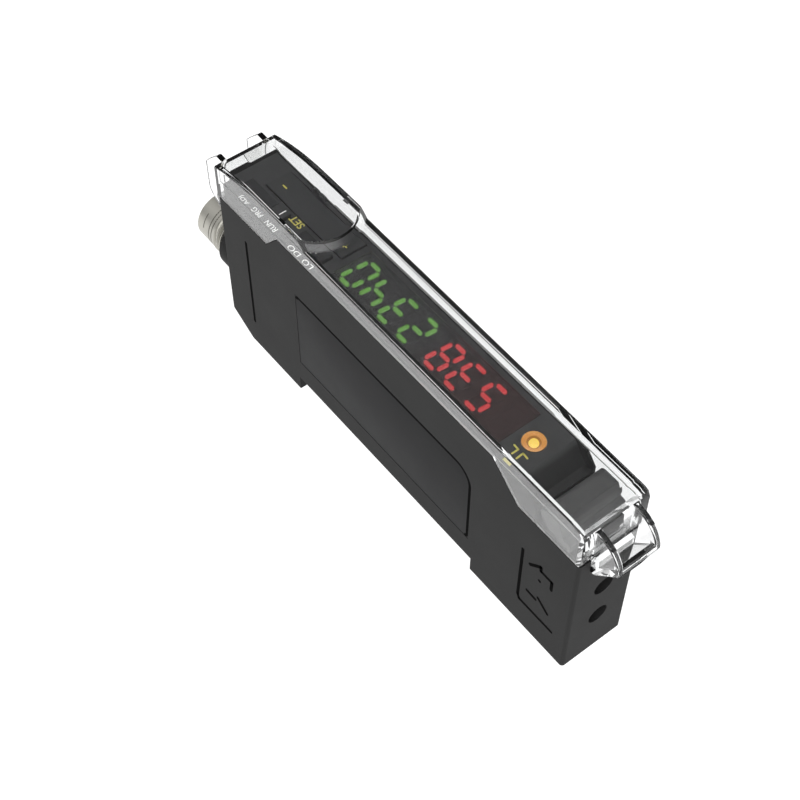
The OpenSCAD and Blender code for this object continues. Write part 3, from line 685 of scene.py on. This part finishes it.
@dataclass
class Housing:
    """The slim case with its label films, painted shadow in their joints and side grooves, small stop and
    fibre pictogram.
    """

    label_low: Point = (-18.48, 3.92)
    label_high: Point = (18.18, 18.38)
    label_round: float = 3.08
    label_corner: float = 0.5
    label_depth: float = 0.2
    film: float = 0.17
    film_soft: float = 0.03
    joint: float = 0.46
    groove_place: float = -29.84
    groove_ends: Point = (2.2, 18.6)
    groove_width: float = 0.58
    groove_depth: float = 0.34
    groove_shadow_fill: float = 0.3
    stop_face: float = -34.55
    stop_reach: float = 0.4
    stop_sides: Point = (-3.1, 0.27)
    stop_heights: Point = (24.6, 25.95)
    stop_slants: Point = (0.15, 0.4)
    stop_sink: float = 0.02
    stop_soft: float = 0.1
    mark_width: float = 0.5
    mark_height: float = 0.02
    mark_lines: tuple[Line, ...] = (
        ((28.05, 14.1), (28.05, 3.5), (28.4, 2.75), (34.45, 2.75)),
        ((29.5, 12.5), (31.33, 14.2), (31.4, 13.35), (33.38, 13.3), (33.4, 11.65)),
        ((29.55, 6.37), (31.1, 6.25)),
        ((31.53, 7.12), (33.36, 5.72)),
        ((31.36, 11.04), (31.4, 11.04)))

    def build(self) -> None:
        """Model what lies on the case: both labels, the pictogram and the stop."""
        low, high = span("case")
        self.label("label_near", low.y, -1)
        self.label("label_far", high.y, 1)
        self.pictogram(side(low.y))
        self.stop()

    def label(self, name: str, face: float, out: int) -> None:
        """Lay a bare label film in its recess, and lay black painted shadow in its joint and in the groove
        beside it.

        Args:
            name: The film's name.
            face: Place of the case's side along Y.
            out: The way out of the side along Y, -1 or 1.
        """
        seat = face - out * self.label_depth
        blank = Blank()
        blank.prism([(x, seat, z) for x, z in self.label_outline()], (0, out * self.film, 0), self.film_soft)
        blank.piece(name, "housing", "housing", Finish.LABEL)
        # Black strips in the label's joint and in the side groove: painted shadow where these gaps fall in
        # shade.
        shadow = Blank()
        shadow.ribbon(self.label_shadow_line(), self.joint, side(seat + out * self.film, out), self.mark_height)
        shadow.stroke(*((self.groove_place, z) for z in self.groove_ends), self.groove_width,
                      side(face - out * self.groove_depth, out), self.groove_shadow_fill)
        shadow.piece(name + "_joint", "housing", "housing", Finish.BLACK_INK_AND_PAINTED_SHADE)

    def pictogram(self, plane: Matrix) -> None:
        """Draw the fibre path by the ports on the near side's plane."""
        mark = Blank()
        mark.chains(self.mark_lines, self.mark_width, plane, self.mark_height)
        mark.piece("fibre_mark", "housing", "housing", Finish.BLACK_INK_AND_PAINTED_SHADE)

    def stop(self) -> None:
        """Model the small stop behind the display face."""
        (y0, y1), (z0, z1), (near, far) = self.stop_sides, self.stop_heights, self.stop_slants
        back, face = self.stop_face - self.stop_reach, self.stop_face + self.stop_sink
        stop = Blank()
        stop.prism([(face, y0, z0), (back, y0 + near, z0), (back, y1 - far, z0), (face, y1, z0)],
                   (0, 0, z1 - z0), self.stop_soft)
        stop.piece("cover_stop", "housing", "housing", Finish.HOUSING)

    def label_outline(self) -> list[Point]:
        """Outline of a label: square but for one round corner."""
        (x0, z0), (x1, z1), r = self.label_low, self.label_high, self.label_round
        return [(x0, z0), (x1, z0)] + arc((x1 - r, z1 - r), r, 0, 90, 12) + [(x0, z1)]

    def label_shadow_line(self) -> list[Point]:
        """Middle line of the painted shadow in the joint along the top and the front of a label."""
        inset, c = self.joint / 2, self.label_corner
        x0, z0 = (value + inset for value in self.label_low)
        x1, z1 = (value - inset for value in self.label_high)
        r = self.label_round - inset
        return (arc((x0 + c, z1 - c), c, 180, 90) + arc((x1 - r, z1 - r), r, 90, 0, 16)
                + arc((x1 - c, z0 + c), c, 0, -90))

    def dress(self) -> None:
        """Finish the housing's own nodes."""
        dress(Finish.HOUSING, "case", "rail_latch")
        dress(Finish.INNER, "port_block")
        dress(Finish.STEEL, "clamp_pin", "clamp_plate")
        dress(Finish.BOARD, "display_board", "main_board")
        # The switch bodies' lighter colour is painted light.
        dress(Finish.SWITCH, "mode_switch_body", "operate_switch_body")
        dress(Finish.KEY, "tact_switches")
        dress(Finish.EMITTER, "emitter")
        dress(Finish.RECEIVER, "receiver")


class Bars(Enum):
    """Lit bars of the figures: a to f clockwise from the top, g in the middle."""

    ZERO = ("0", "abcdef")
    TWO = ("2", "abged")
    THREE = ("3", "abgcd")
    FOUR = ("4", "fgbc")
    FIVE = ("5", "afgcd")
    EIGHT = ("8", "abcdefg")
    BLANK = (" ", "")

    @classmethod
    def of(cls, figure: str) -> str:
        """Give the lit bars of a figure."""
        return next(bars.value[1] for bars in cls if bars.value[0] == figure)


@dataclass
class Display:
    """Two rows of seven-bar figures under the smoked pane, and the output lamp."""

    figure_width: float = 2.95
    figure_height: float = 5.2
    bar_width: float = 0.58
    bar_gap: float = 0.43
    lean: float = 0.1
    pitch: float = 3.9
    bar_rise: float = 0.2
    bar_soft: float = 0.04
    green_text: str = "2340"
    green_shift: Point = (-0.5, 0.11)
    red_text: str = " 538"
    red_shift: Point = (-0.2, 0.14)
    lamp_round: float = 1.5
    lamp_rise: float = 0.35
    lamp_depth: float = 0.6
    lamp_soft: float = 0.04
    lamp_steps: int = 8
    lamp_smooth: float = 40.0
    cup_wall: float = 0.3
    cup_flange: Point = (-2.6, -2.55)
    cup_bore: Line = ((-0.02, 0.9), (-0.1, 0.83), (-0.7, 0.83), (-0.7, 0.0))
    well: Line = ((-0.68, 0.0), (-0.68, 0.82), (-0.12, 0.82), (-0.12, 0.76), (-0.3, 0.6), (-0.3, 0.0))
    die: Line = ((-0.28, 0.0), (-0.28, 0.56), (-0.16, 0.52), (-0.07, 0.32), (-0.04, 0.0))

    def bar_outline(self, which: str) -> list[Point]:
        """Outline of one bar in the figure's own plane.

        Args:
            which: The bar's letter.

        Returns:
            Six corner points.
        """
        across = self.figure_width / 2 - self.bar_width / 2
        up = self.figure_height / 2 - self.bar_width / 2
        places = {"a": (0, up, 0), "g": (0, 0, 0), "d": (0, -up, 0), "b": (across, up / 2, 1),
                  "c": (across, -up / 2, 1), "e": (-across, -up / 2, 1), "f": (-across, up / 2, 1)}
        x, y, stands = places[which]
        e = self.bar_width / 2
        half = (up / 2 if stands else across) + e / 2 - self.bar_gap
        corners = [(-half, 0), (-half + e / 2, e), (half - e, e),
                   (half, 0), (half - e / 2, -e), (-half + e, -e)]
        spots = [(x + q, y + p) if stands else (x + p, y + q) for p, q in corners]
        return [(sx + self.lean * sy, sy) for sx, sy in spots]

    def row(self, node: str, text: str, lit: Finish, dark: Finish, slot: str, shift: Point) -> None:
        """Model one row of figures, the lit and the dark bars apart.

        Args:
            node: The CAD node with all the bars.
            text: The figures, read to -X.
            lit: Finish of the lit bars.
            dark: Finish of the dark bars.
            slot: The bars' material slot name, handed on to the pieces but not used.
            shift: How far the figures sit from the middle of the node.
        """
        low, high = span(node)
        middle = (low.x + high.x) / 2 + shift[0]
        bright, dull = Blank(), Blank()
        for number, figure in enumerate(text):
            x = middle + ((len(text) - 1) / 2 - number) * self.pitch
            place = Matrix.Translation((x, shift[1], 0)) @ upright(low.z)
            for which in "abcdefg":
                blank = bright if which in Bars.of(figure) else dull
                blank.prism([place @ Vector((*spot, 0)) for spot in self.bar_outline(which)],
                            (0, 0, self.bar_rise), self.bar_soft)
        bright.piece(node + "_lit", "housing", slot, lit, stands_for=[node])
        dull.piece(node + "_dark", "housing", slot, dark)

    def lamp(self) -> None:
        """Model the lamp: a low lens over a glowing die in a cup."""
        low, high = span("output_led")
        r, top, rise = self.lamp_round, high.z, self.lamp_rise
        foot, wall = top - self.lamp_depth, r + self.cup_wall
        ball = (r * r + rise * rise) / (2 * rise)
        half = math.degrees(math.asin(r / ball))
        lens = [(foot, 0.0), (foot, r - self.lamp_soft), (foot + self.lamp_soft, r)]
        lens += arc((top - ball, 0.0), ball, half, 0, self.lamp_steps)
        flange, neck = (foot + drop for drop in self.cup_flange)
        bore, well, die = ([(foot + drop, wide) for drop, wide in line]
                           for line in (self.cup_bore, self.well, self.die))
        cup = [(low.z, 0.0), (low.z, wall), (flange, wall), (neck, r), (bore[0][0], r)] + bore
        for name, line, finish, steps, replaced in (
                ("lamp_lens", lens, Finish.LENS, 64, ["output_led"]),
                ("lamp_cup", cup, Finish.LAMP_CUP, 64, []),
                ("lamp_well", well, Finish.LAMP_WELL, 64, []),
                ("lamp_die", die, Finish.LAMP_CORE, 32, [])):
            blank = Blank()
            blank.lathe(line, ((low.x + high.x) / 2, 0, 0), "Z", steps)
            blank.piece(name, "housing", "amber_light", finish, self.lamp_smooth, replaced)

    def build(self) -> None:
        """Model the figures and the lamp."""
        self.row("green_segments", self.green_text, Finish.GREEN_ON, Finish.GREEN_OFF, "green_light",
                 self.green_shift)
        self.row("red_segments", self.red_text, Finish.RED_ON, Finish.RED_OFF, "red_light", self.red_shift)
        self.lamp()

    def dress(self) -> None:
        """Finish the pane and the modules."""
        dress(Finish.PANE, "display_window")
        dress(Finish.MODULE, "green_display", "red_display")


@dataclass
class Face:
    """The display face with its printed legends."""

    ink: float = 0.015
    line: float = 0.24
    white: tuple[tuple[str, Point, Point], ...] = (
        ("RUN", (23.1, 3.25), (2.2, 0.8)), ("PRG", (26.4, 3.25), (1.9, 0.8)),
        ("ADJ", (29.3, 3.25), (1.85, 0.8)), ("LO", (14.99, 3.42), (1.85, 0.85)),
        ("DO", (17.69, 3.42), (2.3, 0.85)))
    yellow: tuple[str, Point, Point] = ("SET", (21.2, 0.8), (2.4, 1.1))
    step_lines: tuple[Line, ...] = (((-21.94, 2.11), (-22.71, 2.16), (-22.70, 3.10)),
                                    ((-23.54, 3.15), (-23.48, 2.10), (-24.31, 2.17)))
    bar: Line = ((-22.45, 3.62), (-23.7, 3.62))
    bar_width: float = 0.42

    def build(self) -> None:
        """Print the white and yellow legends."""
        top = upright(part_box("display_window")[1].z / MM)
        white, yellow = Blank(), Blank()
        for text, corner, size in self.white:
            white.word(text, corner, size, top, self.ink)
        white.piece("face_legends", "housing", "face", Finish.WHITE_INK)
        yellow.word(*self.yellow, top, self.ink)
        yellow.chains(self.step_lines, self.line, top, self.ink)
        yellow.stroke(*self.bar, self.bar_width, top, self.ink, ends=1)
        yellow.piece("face_marks", "housing", "face", Finish.YELLOW_INK)

    def dress(self) -> None:
        """Finish the display face."""
        dress(Finish.FACE, "deck")


@dataclass
class Controls:
    """Rocker, two slide knobs with the strips in their slots, and the clamp lever."""

    ink: float = 0.015
    pointer: float = 0.16
    pointer_shift: float = 0.35
    pointer_ends: Point = (1.5, 2.5)
    mark: float = 0.2
    mark_sink: float = 0.06
    mark_rise: float = 0.055
    mark_lines: tuple[Line, ...] = (((28.15, -1.1), (28.85, -1.1)), ((14.75, -1.0), (15.45, -1.0)),
                                    ((15.1, -1.35), (15.1, -0.65)))
    strip_half: float = 0.88
    strip_top: float = 0.3
    strip_thick: float = 0.5
    strip_soft: float = 0.08
    strip_play: float = 0.05
    strip_keep: float = 0.008

    def strip(self, knob: str, joint: str) -> None:
        """Close the slot behind a knob with a soft strip.

        Args:
            knob: The knob's node.
            joint: The joint that the knob slides on.
        """
        low, high = span(knob)
        y, top, half = (low.y + high.y) / 2, span("deck")[1].z - self.strip_top, self.strip_half
        x0, x1 = low.x - travel(joint) - 2 * self.strip_play, low.x - self.strip_play
        foam = Blank()
        foam.prism([(x, y + out, top - self.strip_thick)
                    for x, out in ((x0, -half), (x1, -half), (x1, half), (x0, half))],
                   (0, 0, self.strip_thick), self.strip_soft)
        made = foam.piece(knob + "_strip", "housing", "switch", Finish.STRIP)
        x0 * MM
        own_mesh(made)

    def build(self) -> None:
        """Close the slots, and print the mode knob's pointer and the rocker's marks."""
        self.strip("mode_knob", "mode_slide")
        self.strip("operate_knob", "operate_slide")
        low, high = span("mode_knob")
        x = (low.x + high.x) / 2 + self.pointer_shift
        line = Blank()
        line.stroke(*((-x, y) for y in self.pointer_ends), self.pointer, upright(high.z), self.ink)
        line.piece("mode_knob_pointer", "mode_switch", "button", Finish.WHITE_INK)
        marks = Blank()
        marks.chains(self.mark_lines, self.mark, upright(span("rocker_button")[1].z - self.mark_sink),
                     self.mark_rise)
        marks.piece("rocker_marks", "rocker", "button", Finish.YELLOW_INK)

    def dress(self) -> None:
        """Finish the controls."""
        dress(Finish.BUTTON, "rocker_button", "mode_knob", "operate_knob")
        dress(Finish.LEVER, "clamp_lever")


@dataclass
class Cover:
    """The hinged clear dust cover, with soft edges on its ears and finger tab."""

    weld: float = 0.002
    smooth: float = 32.0
    soften: float = 0.2
    soften_steps: int = 3
    sharp: float = 38.0
    flat: float = 0.6
    ears_behind: float = -36.1
    tab_before: float = 37.3
    tab_middle: Point = (37.1, 23.3)
    tab_round: float = 4.25
    tab_half: float = 3.3
    tab_thick: float = 0.85
    rim: float = 0.015
    rim_turn: Point = (70.0, 3.0)
    rim_steps: int = 16

    def build(self) -> None:
        """Model the cover over the frame's own shape and soften the edges that the finger meets."""
        glass = Blank()
        bm = glass.bm
        bm.from_mesh(frame["nodes"]["dust_cover"].data)
        bmesh.ops.scale(bm, vec=(1 / MM, 1 / MM, 1 / MM), verts=bm.verts[:])
        bmesh.ops.remove_doubles(bm, verts=bm.verts[:], dist=self.weld)
        bmesh.ops.dissolve_limit(bm, angle_limit=math.radians(self.flat), use_dissolve_boundaries=False,
                                 verts=bm.verts[:], edges=bm.edges[:], delimit=set())
        corners = [edge for edge in bm.edges if edge.calc_face_angle(0.0) > math.radians(self.sharp)
                   and (all(v.co.x < self.ears_behind for v in edge.verts)
                        or all(v.co.x > self.tab_before for v in edge.verts))]
        bmesh.ops.bevel(bm, geom=corners, offset=self.soften, offset_type="OFFSET", profile=0.5,
                        segments=self.soften_steps, affect="EDGES", material=-1, clamp_overlap=False)
        glass.piece("cover_glass", "cover", "clear", Finish.CLEAR, self.smooth, ["dust_cover"], even=True)
        LOG.info("softened %d edges of the cover", len(corners))
        self.shade_rim()

    def shade_rim(self) -> None:
        """Lay painted shade on the rim of the tab, a dark film in place of the dark look that refraction
        gives the edges of clear plastic.
        """
        bend = arc(self.tab_middle, self.tab_round + self.rim, *self.rim_turn, self.rim_steps)
        wide = self.tab_thick - 2 * self.soften
        film = Blank()
        for place in (self.tab_thick - self.tab_half - self.soften, self.tab_half - self.soften):
            film.ribbon(bend, self.rim, side(place), wide)
        film.piece("tab_rim_painted_shade", "cover", "clear", Finish.EDGE)

    def dress(self) -> None:
        """Finish the frame's own cover."""
        dress(Finish.CLEAR, "dust_cover")


@dataclass
class LatchSpring:
    """The bent strip behind the rail latch."""

    legs: int = 6
    thick: float = 0.3
    bend_steps: int = 12

    def line(self, low: Vector, high: Vector) -> list[Point]:
        """Middle line of the strip, to and fro between its room's lowest and highest corners."""
        first = low.x + self.thick / 2
        pitch = (high.x - low.x - self.thick) / (self.legs - 1)
        bend = pitch / 2
        reach = high.y - self.thick / 2 - bend
        points = []
        for leg in range(self.legs):
            x, turn = first + leg * pitch, 1 if leg % 2 == 0 else -1
            points += [(x, -turn * reach), (x, turn * reach)]
            if leg + 1 < self.legs:
                points += arc((x + bend, turn * reach), bend, 180, 180 - 180 * turn, self.bend_steps)[1:-1]
        return points

    def build(self) -> None:
        """Bend the strip and put it in place of the frame's spring."""
        low, high = span("latch_spring")
        strip = Blank()
        strip.ribbon(self.line(low, high), self.thick, Matrix.Translation((0, 0, low.z)), high.z - low.z)
        spring = strip.piece("latch_strip", "housing", "steel", Finish.STEEL, 30, ["latch_spring"])
        1 - travel("catch_slide") / (high.x - low.x)
        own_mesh(spring)

    def dress(self) -> None:
        """Finish the frame's own spring."""
        dress(Finish.STEEL, "latch_spring")


@dataclass
class Plug:
    """The round connector behind the case, with its thread, rings and short mark; the thread's bed, the
    rings and the mark are darker metal, painted shade.
    """

    pitch: float = 0.8
    start: float = 3.8
    crest: float = 0.09
    depth: float = 0.33
    sink: float = 0.05
    flanks: tuple[float, ...] = (0.0, 0.3, 0.5, 0.8)
    bed: tuple[float, ...] = (0.78, 0.75, 1.05, 1.02)
    bed_rise: float = 0.06
    turns: int = 3
    turn_steps: int = 40
    smooth: float = 25.0
    mark_place: float = 1.7
    mark_width: float = 0.17
    mark_turn: Point = (44.0, 80.0)
    mark_steps: int = 12
    mark_sink: float = 0.1
    mark_rise: float = 0.006
    ring_places: Point = (2.9, 3.5)
    ring_width: float = 0.2

    @staticmethod
    def axis() -> tuple[float, Vector, float]:
        """Give the plug's end along X, a point of its axis and its radius."""
        low, high = span("connector_shell")
        return low.x, Vector((0, 0, (low.z + high.z) / 2)), (high.z - low.z) / 2

    def build(self) -> None:
        """Wind the thread round the plug, and lay its rings and the short mark by its end."""
        self.thread()
        self.marks()

    def thread(self) -> None:
        """Wind the thread, and the bed between its turns in darker metal: painted shade."""
        end, middle, top = self.axis()
        start = end + self.start
        foot = top - self.depth
        for name, shares, crest, turns, finish in (
                ("plug_thread", self.flanks, top + self.crest, self.turns, Finish.PLUG),
                ("plug_thread_root", self.bed, foot + self.bed_rise, self.turns - 1, Finish.PLUG_GROOVE_SHADE)):
            heights = (foot - self.sink, crest, crest, foot - self.sink)
            section = [(start + share * self.pitch, height) for share, height in zip(shares, heights)]
            blank = Blank()
            blank.wind(section, middle, 360.0 * turns, self.pitch * turns, turns * self.turn_steps)
            blank.piece(name, "housing", "plug", finish, self.smooth)

    def marks(self) -> None:
        """Lay the short mark by the plug's end and the rings behind it, in darker metal: painted shade."""
        end, middle, top = self.axis()
        low, high = top - self.mark_sink, top + self.mark_rise
        x, half = end + self.mark_place, self.mark_width / 2
        first, last = self.mark_turn
        mark = Blank()
        mark.wind([(x - half, low), (x - half, high), (x + half, high), (x + half, low)], middle,
                  last - first, 0.0, self.mark_steps, first)
        for place in self.ring_places:
            x0, x1 = end + place, end + place + self.ring_width
            mark.lathe([(x0, low), (x0, high), (x1, high), (x1, low), (x0, low)], middle, "X")
        mark.piece("plug_mark", "housing", "plug", Finish.PLUG_GROOVE_SHADE)

    def dress(self) -> None:
        """Finish the connector."""
        dress(Finish.PLUG, "connector_shell")
        dress(Finish.PLUG_INSERT, "connector_insert")
        dress(Finish.CONTACT, "connector_pins")


@dataclass
class Studio:
    """Camera, pale floor and soft light."""

    azimuth: float = 51.99
    elevation: float = 53.07
    stand: Triple = (94.334, -75.537, 171.15)
    lens: float = 68.65
    sensor: float = 36.0
    clip: Point = (0.005, 20.0)
    floor_size: float = 3.0
    floor_glow: float = 1.03
    floor_tones: Point = (0.19, 0.2)
    floor_cloud: float = 80.0
    floor_rough: float = 0.9
    sky: float = 1.0
    key_side: float = 40.0
    key_height: float = 50.0
    levels: Line = ((0.0, 0.12), (0.58, 0.12), (0.7, 0.35), (0.85, 1.6), (1.0, 2.4))

    @staticmethod
    def back(azimuth: float, elevation: float) -> Vector:
        """Direction from the part to a place round it, from angles in degrees."""
        a, e = math.radians(azimuth), math.radians(elevation)
        return Vector((math.sin(a) * math.cos(e), -math.cos(a) * math.cos(e), math.sin(e)))

    def camera(self) -> None:
        """Set the camera at the photograph's viewing angle."""
        held = bpy.data.cameras.new("camera")
        held.lens, held.sensor_width, held.sensor_fit = self.lens, self.sensor, "HORIZONTAL"
        held.clip_start, held.clip_end = self.clip
        camera = put("camera", held)
        camera.rotation_mode = "QUATERNION"
        camera.rotation_quaternion = self.back(self.azimuth, self.elevation).to_track_quat("Z", "Y")
        camera.location = Vector(self.stand) * MM
        bpy.context.scene.camera = camera

    def floor(self) -> None:
        """Lay the pale floor under the feet."""
        bm = bmesh.new()
        bmesh.ops.create_grid(bm, x_segments=1, y_segments=1, size=self.floor_size)
        bmesh.ops.translate(bm, vec=(0, 0, CAD_BOX[0].z), verts=bm.verts[:])
        mesh = bpy.data.meshes.new("floor")
        bm.to_mesh(mesh)
        bm.free()
        paint = Paint("pale_floor")
        colour = paint.tones(paint.noise(self.floor_cloud), (1, 1, 1), *self.floor_tones)
        mesh.materials.append(paint.finish(Base_Color=colour, Roughness=self.floor_rough,
                                           Specular_IOR_Level=0.0, Emission_Color=(1, 1, 1, 1),
                                           Emission_Strength=self.floor_glow))
        floor = put("floor", mesh)

    def light(self) -> None:
        """Fill the studio with soft white light."""
        paint = Paint("studio", "worlds")
        where = paint.node("ShaderNodeTexCoord", out="Generated")
        toward = paint.node("ShaderNodeVectorMath", {"operation": "DOT_PRODUCT"},
                            {0: where, 1: self.back(self.key_side, self.key_height)}, "Value")
        ramp = paint.node("ShaderNodeValToRGB", {}, {0: toward * 0.5 + 0.5})
        stops = ramp.socket.node.color_ramp.elements
        while len(stops) < len(self.levels):
            stops.new(1.0)
        for stop, (place, level) in zip(stops, self.levels):
            stop.position = place
            stop.color = (level, level, level, 1)
        sky = paint.node("ShaderNodeBackground", {}, {"Color": ramp, "Strength": self.sky})
        bpy.context.scene.world = paint.close(sky, "World")
        bpy.context.scene.view_settings.view_transform = "Standard"

    def build(self) -> None:
        """Set up the studio."""
        self.camera()
        self.floor()
        self.light()
        LOG.info("studio is set")


def main() -> None:
    """Build and dress the amplifier."""
    logging.basicConfig(level=logging.INFO, format="%(name)s: %(message)s")
    Studio().build()
    for part in (Housing(), Display(), Face(), Controls(), LatchSpring(), Plug(), Cover()):
        part.build()
        part.dress()


if __name__ == "__main__":
    main()
